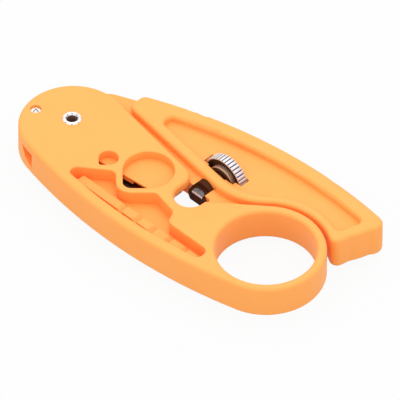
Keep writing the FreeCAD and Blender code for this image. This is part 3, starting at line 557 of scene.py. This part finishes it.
def tube_points(path, thick, sides):
    """Round section carried along a path: each ring lies across the path's own direction."""
    way = np.gradient(path, axis=0)
    way /= np.linalg.norm(way, axis=1)[:, None]
    up = np.array((0.0, 0.0, 1.0))
    across = np.cross(way, up)
    across /= np.linalg.norm(across, axis=1)[:, None]
    over = np.cross(across, way)
    angles = np.linspace(0, 2 * np.pi, sides, endpoint=False)
    ring = (across[:, None, :] * np.cos(angles)[:, None] + over[:, None, :] * np.sin(angles)[:, None])
    return path[:, None, :] + ring * thick[:, None, None]


def new_group(name, inputs, outputs):
    """Empty shader node group with named sockets."""
    tree = bpy.data.node_groups.new(name, "ShaderNodeTree")
    for label, kind, default in inputs:
        socket = tree.interface.new_socket(name=label, in_out="INPUT", socket_type=kind)
        socket.default_value = default
    for label, kind in outputs:
        tree.interface.new_socket(name=label, in_out="OUTPUT", socket_type=kind)
    return tree, tree.nodes.new("NodeGroupInput"), tree.nodes.new("NodeGroupOutput")


def mottle_group():
    """Slow change between two tones over the surface, with a matching roughness."""
    tree, given, made = new_group(
        "surface_mottle",
        [("Tone", "NodeSocketColor", (1, 1, 1, 1)), ("Second tone", "NodeSocketColor", (0, 0, 0, 1)),
         ("Scale", "NodeSocketFloat", 100.0), ("Rough low", "NodeSocketFloat", 0.3),
         ("Rough high", "NodeSocketFloat", 0.4)],
        [("Colour", "NodeSocketColor"), ("Roughness", "NodeSocketFloat")])
    place = tree.nodes.new("ShaderNodeTexCoord")
    noise = tree.nodes.new("ShaderNodeTexNoise")
    noise.inputs["Detail"].default_value = 5.0
    noise.inputs["Roughness"].default_value = 0.6
    blend = tree.nodes.new("ShaderNodeMix")
    blend.data_type = "RGBA"
    spread = tree.nodes.new("ShaderNodeMapRange")
    spread.inputs["From Min"].default_value = 0.3
    spread.inputs["From Max"].default_value = 0.7
    rough = tree.nodes.new("ShaderNodeMapRange")
    link = tree.links.new
    link(place.outputs["Object"], noise.inputs["Vector"])
    link(given.outputs["Scale"], noise.inputs["Scale"])
    link(noise.outputs["Fac"], spread.inputs["Value"])
    link(spread.outputs["Result"], blend.inputs["Factor"])
    link(given.outputs["Tone"], blend.inputs["A"])
    link(given.outputs["Second tone"], blend.inputs["B"])
    link(spread.outputs["Result"], rough.inputs["Value"])
    link(given.outputs["Rough low"], rough.inputs["To Min"])
    link(given.outputs["Rough high"], rough.inputs["To Max"])
    link(blend.outputs["Result"], made.inputs["Colour"])
    link(rough.outputs["Result"], made.inputs["Roughness"])
    return tree


def grain_group():
    """Fine height noise, stretched along each axis by its own scale."""
    tree, given, made = new_group(
        "fine_grain",
        [("Stretch", "NodeSocketVector", (1, 1, 1)), ("Scale", "NodeSocketFloat", 1500.0)],
        [("Height", "NodeSocketFloat")])
    place = tree.nodes.new("ShaderNodeTexCoord")
    stretch = tree.nodes.new("ShaderNodeMapping")
    noise = tree.nodes.new("ShaderNodeTexNoise")
    noise.inputs["Detail"].default_value = 3.0
    link = tree.links.new
    link(place.outputs["Object"], stretch.inputs["Vector"])
    link(given.outputs["Stretch"], stretch.inputs["Scale"])
    link(stretch.outputs["Vector"], noise.inputs["Vector"])
    link(given.outputs["Scale"], noise.inputs["Scale"])
    link(noise.outputs["Fac"], made.inputs["Height"])
    return tree


def finish(name, tones, mottle, rough, grain, bump, stretch=(1, 1, 1), metallic=0.0, specular=0.5):
    """Material of a mottled tone with a fine grain, from the two shared node groups.

    mottle and grain are the scales of the two noises, rough the lowest and highest roughness, bump the
    strength of the grain's relief and stretch the grain's scale along each axis."""
    material = bpy.data.materials.new(name)
    material.use_nodes = True
    tree = material.node_tree
    shader = tree.nodes["Principled BSDF"]
    shader.inputs["Metallic"].default_value = metallic
    shader.inputs["Specular IOR Level"].default_value = specular
    tone = tree.nodes.new("ShaderNodeGroup")
    tone.node_tree = bpy.data.node_groups.get("surface_mottle") or mottle_group()
    tone.inputs["Tone"].default_value = tones[0]
    tone.inputs["Second tone"].default_value = tones[1]
    tone.inputs["Scale"].default_value = mottle
    tone.inputs["Rough low"].default_value = rough[0]
    tone.inputs["Rough high"].default_value = rough[1]
    fine = tree.nodes.new("ShaderNodeGroup")
    fine.node_tree = bpy.data.node_groups.get("fine_grain") or grain_group()
    fine.inputs["Stretch"].default_value = stretch
    fine.inputs["Scale"].default_value = grain
    relief = tree.nodes.new("ShaderNodeBump")
    relief.inputs["Strength"].default_value = bump
    relief.inputs["Distance"].default_value = GRAIN_HEIGHT
    link = tree.links.new
    link(tone.outputs["Colour"], shader.inputs["Base Color"])
    link(tone.outputs["Roughness"], shader.inputs["Roughness"])
    link(fine.outputs["Height"], relief.inputs["Height"])
    link(relief.outputs["Normal"], shader.inputs["Normal"])
    return material


def mesh_mask(material, label):
    """Mask that the mesh carries as an attribute, 0 on a mesh without it."""
    mask = material.node_tree.nodes.new("ShaderNodeAttribute")
    mask.attribute_name = label
    return mask.outputs["Fac"]


def toned(material, mask, tone):
    """Material that takes another tone where the mask is 1."""
    tree = material.node_tree
    shader = tree.nodes["Principled BSDF"]
    blend = tree.nodes.new("ShaderNodeMix")
    blend.data_type = "RGBA"
    blend.inputs["B"].default_value = tone
    tree.links.new(shader.inputs["Base Color"].links[0].from_socket, blend.inputs["A"])
    tree.links.new(mask, blend.inputs["Factor"])
    tree.links.new(blend.outputs["Result"], shader.inputs["Base Color"])
    return material


def dulled(material, mask):
    """Metal that turns dull and non-metallic where the mask is 1, under painted shade or a painted
    highlight.
    """
    tree = material.node_tree
    metal = tree.nodes.new("ShaderNodeMapRange")
    metal.inputs["To Min"].default_value = 1.0
    metal.inputs["To Max"].default_value = 0.0
    tree.links.new(mask, metal.inputs["Value"])
    tree.links.new(metal.outputs["Result"], tree.nodes["Principled BSDF"].inputs["Metallic"])
    return material


def moulded_orange():
    """Satin orange moulding of both levers."""
    c = colours()
    return bpy.data.materials.get("moulded_orange") or finish(
        "moulded_orange", (c.orange, c.orange_deep), mottle=60.0, rough=(0.42, 0.52),
        grain=2200.0, bump=0.12, specular=0.3)


def bright_plating():
    """Bright plated steel of the fasteners, with painted shade where a mesh carries the shade mask."""
    done = bpy.data.materials.get("bright_plating")
    if done:
        return done
    c = colours()
    plating = finish(
        "bright_plating", (c.plating, c.plating_dull), mottle=700.0, rough=(0.2, 0.32),
        grain=2600.0, bump=0.08)
    # Painted shade: a dull dark brown where the shade mask is 1
    shade = mesh_mask(plating, "shade")
    return dulled(toned(plating, shade, c.plating_painted_shade), shade)


def wheel_plating():
    """Plated steel of the thumbwheel, with painted shade in the grooves and on the sunk faces and a
    painted reflection on the hub ring.
    """
    c = colours()
    plating = finish(
        "wheel_plating", (c.wheel_plating, c.wheel_plating_dull), mottle=700.0, rough=(0.55, 0.65),
        grain=2600.0, bump=0.08, metallic=1.0)
    # Painted shade in the grooves and on the sunk faces, painted reflection on the hub ring
    for label, tone in (("groove", c.wheel_groove_painted_shade), ("sunk", c.wheel_painted_shade), ("hub", c.wheel_hub_painted_reflection)):
        toned(plating, mesh_mask(plating, label), tone)
    return plating


def steel_with_painted_highlight():
    """Dark steel of the stripping blade, with a painted highlight along its ground front edge.

    The painted highlight covers the highlight width and fades out over a further fifth of it."""
    c = colours()
    width = sizes().painted_highlight_width
    fade = width / 5
    steel = finish(
        "steel_with_painted_highlight", (c.steel_dark, c.steel_oiled), mottle=500.0, rough=(0.24, 0.38),
        grain=5000.0, bump=0.35, stretch=GRINDING_LINES)
    tree = steel.node_tree
    place = tree.nodes.new("ShaderNodeTexCoord")
    split = tree.nodes.new("ShaderNodeSeparateXYZ")
    near = tree.nodes.new("ShaderNodeMapRange")
    near.inputs["From Min"].default_value = STRIP_BLADE_FRONT + width + fade
    near.inputs["From Max"].default_value = STRIP_BLADE_FRONT + width
    tree.links.new(place.outputs["Object"], split.inputs["Vector"])
    tree.links.new(split.outputs["Y"], near.inputs["Value"])
    # Painted highlight: a bright dull band along the blade's front edge
    return dulled(toned(steel, near.outputs["Result"], c.painted_edge_highlight), near.outputs["Result"])


def ground_steel():
    """Steel of the cutter blade, the lead screw and the spring, with fine grinding lines."""
    c = colours()
    return bpy.data.materials.get("ground_steel") or finish(
        "ground_steel", (c.steel, c.steel_dark), mottle=500.0, rough=(0.24, 0.38),
        grain=5000.0, bump=0.35, stretch=GRINDING_LINES, metallic=1.0)


def satin_black():
    """Black plastic of the slider and the bush, with a low gloss; its orange-brown tint is painted
    bounce light from the orange levers.
    """
    c = colours()
    return bpy.data.materials.get("satin_black") or finish(
        "satin_black", (c.black, c.black_grey), mottle=400.0, rough=(0.4, 0.52),
        grain=1800.0, bump=0.1, specular=0.03)


def dress(piece, material):
    """Piece with one material on all its faces."""
    piece.data.materials.clear()
    piece.data.materials.append(material)
    return piece


def smooth_node(name, material):
    """CAD node with a material, its loose triangles welded together."""
    node = dress(NODES[name], material)
    weld = node.modifiers.new("weld", "WELD")
    weld.merge_threshold = MERGE_GAP
    return node


class STRIPPER_OT_levers(bpy.types.Operator):
    """Give both moulded levers their orange finish"""

    bl_idname = "stripper.levers"
    bl_label = "Levers"

    def execute(self, context):
        for name in ("ring_lever", "handle_lever"):
            smooth_node(name, moulded_orange())
        return {"FINISHED"}


class STRIPPER_OT_fasteners(bpy.types.Operator):
    """Draw the split rivet and the crimped nose pin, and plate the washer and the blade screws"""

    bl_idname = "stripper.fasteners"
    bl_label = "Fasteners"

    def execute(self, context):
        for name in ("rivet_washer", "blade_screw_nose", "blade_screw_tail"):
            smooth_node(name, bright_plating())
        points, shade = rivet_points()
        rivet = grid_piece("split_rivet", points, wrap_rows=True, wrap_columns=True, shade=shade)
        points, shade = pin_points()
        pin = grid_piece("crimped_nose_pin", points, wrap_rows=True, shade=shade)
        for piece, node in ((rivet, "pivot_rivet"), (pin, "nose_pin")):
            dress(piece, bright_plating())
            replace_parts(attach(piece, "ring_side"), node)
        return {"FINISHED"}


class STRIPPER_OT_blades(bpy.types.Operator):
    """Give the cutter blade and the stripping blade their ground steel"""

    bl_idname = "stripper.blades"
    bl_label = "Blades"

    def execute(self, context):
        smooth_node("cutter_blade", ground_steel())
        smooth_node("strip_blade", steel_with_painted_highlight())
        return {"FINISHED"}


class STRIPPER_OT_slider(bpy.types.Operator):
    """Give the blade carrier and the wheel's bush their black finish"""

    bl_idname = "stripper.slider"
    bl_label = "Slider and bush"

    def execute(self, context):
        for name in ("blade_carrier", "wheel_nut"):
            smooth_node(name, satin_black())
        return {"FINISHED"}


class STRIPPER_OT_thumbwheel(bpy.types.Operator):
    """Draw the ridged thumbwheel"""

    bl_idname = "stripper.thumbwheel"
    bl_label = "Thumbwheel"

    def execute(self, context):
        points, masks = wheel_points()
        wheel = grid_piece("ridged_thumbwheel", points, wrap_rows=True, wrap_columns=True, **masks)
        dress(wheel, wheel_plating())
        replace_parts(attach(wheel, "wheel"), "thumbwheel")
        return {"FINISHED"}


class STRIPPER_OT_lead_screw(bpy.types.Operator):
    """Draw the threaded lead screw"""

    bl_idname = "stripper.lead_screw"
    bl_label = "Lead screw"

    def execute(self, context):
        screw = grid_piece("threaded_lead_screw", screw_points(), wrap_rows=True)
        dress(screw, ground_steel())
        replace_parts(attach(screw, "carrier"), "lead_screw")
        return {"FINISHED"}


class STRIPPER_OT_spring(bpy.types.Operator):
    """Draw the return spring as one fixed piece; in the tool its coil twists as the levers open"""

    bl_idname = "stripper.spring"
    bl_label = "Return spring"

    def execute(self, context):
        path, thick, coil_low = spring_path()
        points = tube_points(path, thick, SPRING_SIDES)
        spring = grid_piece("twisting_spring", points, wrap_columns=True)
        dress(spring, ground_steel())
        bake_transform(spring)
        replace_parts(spring, "return_spring")
        return {"FINISHED"}


def white_to_camera(tree, shader_out, share):
    """Mixes plain white into what the camera and gloss see, and leaves other light alone."""
    path = tree.nodes.new("ShaderNodeLightPath")
    seen = tree.nodes.new("ShaderNodeMath")
    seen.operation = "ADD"
    amount = tree.nodes.new("ShaderNodeMath")
    amount.operation = "MULTIPLY"
    amount.inputs[1].default_value = share
    white = tree.nodes.new("ShaderNodeEmission")
    mix = tree.nodes.new("ShaderNodeMixShader")
    link = tree.links.new
    link(path.outputs["Is Camera Ray"], seen.inputs[0])
    link(path.outputs["Is Glossy Ray"], seen.inputs[1])
    link(seen.outputs["Value"], amount.inputs[0])
    link(amount.outputs["Value"], mix.inputs["Fac"])
    link(shader_out, mix.inputs[1])
    link(white.outputs["Emission"], mix.inputs[2])
    return mix.outputs["Shader"]


def studio_floor():
    """Large pale floor under the tool, which keeps a faint shadow."""
    st = studio()
    corner = np.array((-st.floor_size, st.floor_size))
    x, y = np.meshgrid(corner, corner, indexing="ij")
    points = np.stack((x, y, np.full_like(x, CAD_BOX[0].z)), axis=-1)
    floor = grid_piece("studio_floor", points)
    material = bpy.data.materials.new("studio_floor")
    material.use_nodes = True
    tree = material.node_tree
    shader = tree.nodes["Principled BSDF"]
    shader.inputs["Base Color"].default_value = colours().floor
    shader.inputs["Roughness"].default_value = st.floor_rough
    out = white_to_camera(tree, shader.outputs["BSDF"], st.floor_white)
    tree.links.new(out, tree.nodes["Material Output"].inputs["Surface"])
    dress(floor, material)


def studio_sky():
    """Even light from all round, white where it is seen."""
    world = bpy.data.worlds.new("studio_sky")
    world.use_nodes = True
    bpy.context.scene.world = world
    tree = world.node_tree
    sky = tree.nodes["Background"]
    sky.inputs["Color"].default_value = (1, 1, 1, 1)
    sky.inputs["Strength"].default_value = studio().sky
    out = white_to_camera(tree, sky.outputs["Background"], 1.0)
    tree.links.new(out, tree.nodes["World Output"].inputs["Surface"])


def studio_lamp(name, power, size, place):
    """Square soft lamp at a place from the camera's aim, which it points at."""
    lamp = bpy.data.lights.new(name, "AREA")
    lamp.energy = power
    lamp.size = size
    holder = bpy.data.objects.new(name, lamp)
    aim = Vector(studio().aim)
    holder.location = aim + Vector(place)
    holder.rotation_euler = (aim - holder.location).to_track_quat("-Z", "Y").to_euler()
    bpy.context.scene.collection.objects.link(holder)


class STRIPPER_OT_studio(bpy.types.Operator):
    """Set the floor, the light and the camera"""

    bl_idname = "stripper.studio"
    bl_label = "Studio"

    def execute(self, context):
        st = studio()
        studio_floor()
        studio_sky()
        studio_lamp("overhead_lamp", st.key, st.key_size, st.key_place)
        studio_lamp("side_lamp", st.fill, st.fill_size, st.fill_place)
        camera = bpy.data.objects.new("camera", bpy.data.cameras.new("camera"))
        camera.data.lens = st.lens
        back = Vector((math.sin(st.azimuth) * math.cos(st.elevation),
                       -math.cos(st.azimuth) * math.cos(st.elevation), math.sin(st.elevation)))
        camera.location = Vector(st.aim) + back * st.distance
        level = (-back).to_track_quat("-Z", "Y")
        camera.rotation_euler = (level @ Quaternion((0, 0, 1), st.roll)).to_euler()
        context.scene.collection.objects.link(camera)
        context.scene.camera = camera
        context.scene.view_settings.view_transform = "Standard"
        context.scene.cycles.diffuse_bounces = st.bounces
        return {"FINISHED"}


BUILD_ORDER = (STRIPPER_OT_levers, STRIPPER_OT_fasteners, STRIPPER_OT_blades, STRIPPER_OT_slider,
               STRIPPER_OT_thumbwheel, STRIPPER_OT_lead_screw, STRIPPER_OT_spring, STRIPPER_OT_studio)


class STRIPPER_PT_panel(bpy.types.Panel):
    """Steps that dress the tool"""

    bl_idname = "STRIPPER_PT_panel"
    bl_label = "Cable stripping tool"
    bl_space_type = "VIEW_3D"
    bl_region_type = "UI"
    bl_category = "Stripper"

    def draw(self, context):
        for step in BUILD_ORDER:
            self.layout.operator(step.bl_idname)


CLASSES = (StripperSizes, StripperColours, StripperStudio, *BUILD_ORDER, STRIPPER_PT_panel)


def register():
    """Registers the classes and hangs the settings on the scene."""
    for entry in CLASSES:
        bpy.utils.register_class(entry)
    bpy.types.Scene.stripper_sizes = bpy.props.PointerProperty(type=StripperSizes)
    bpy.types.Scene.stripper_colours = bpy.props.PointerProperty(type=StripperColours)
    bpy.types.Scene.stripper_studio = bpy.props.PointerProperty(type=StripperStudio)


def unregister():
    """Takes the settings and the classes away again."""
    del bpy.types.Scene.stripper_studio
    del bpy.types.Scene.stripper_colours
    del bpy.types.Scene.stripper_sizes
    for entry in reversed(CLASSES):
        bpy.utils.unregister_class(entry)


def main():
    """Builds every step in order."""
    register()
    bpy.ops.stripper.levers()
    bpy.ops.stripper.fasteners()
    bpy.ops.stripper.blades()
    bpy.ops.stripper.slider()
    bpy.ops.stripper.thumbwheel()
    bpy.ops.stripper.lead_screw()
    bpy.ops.stripper.spring()
    bpy.ops.stripper.studio()


if __name__ == "__main__":
    main()
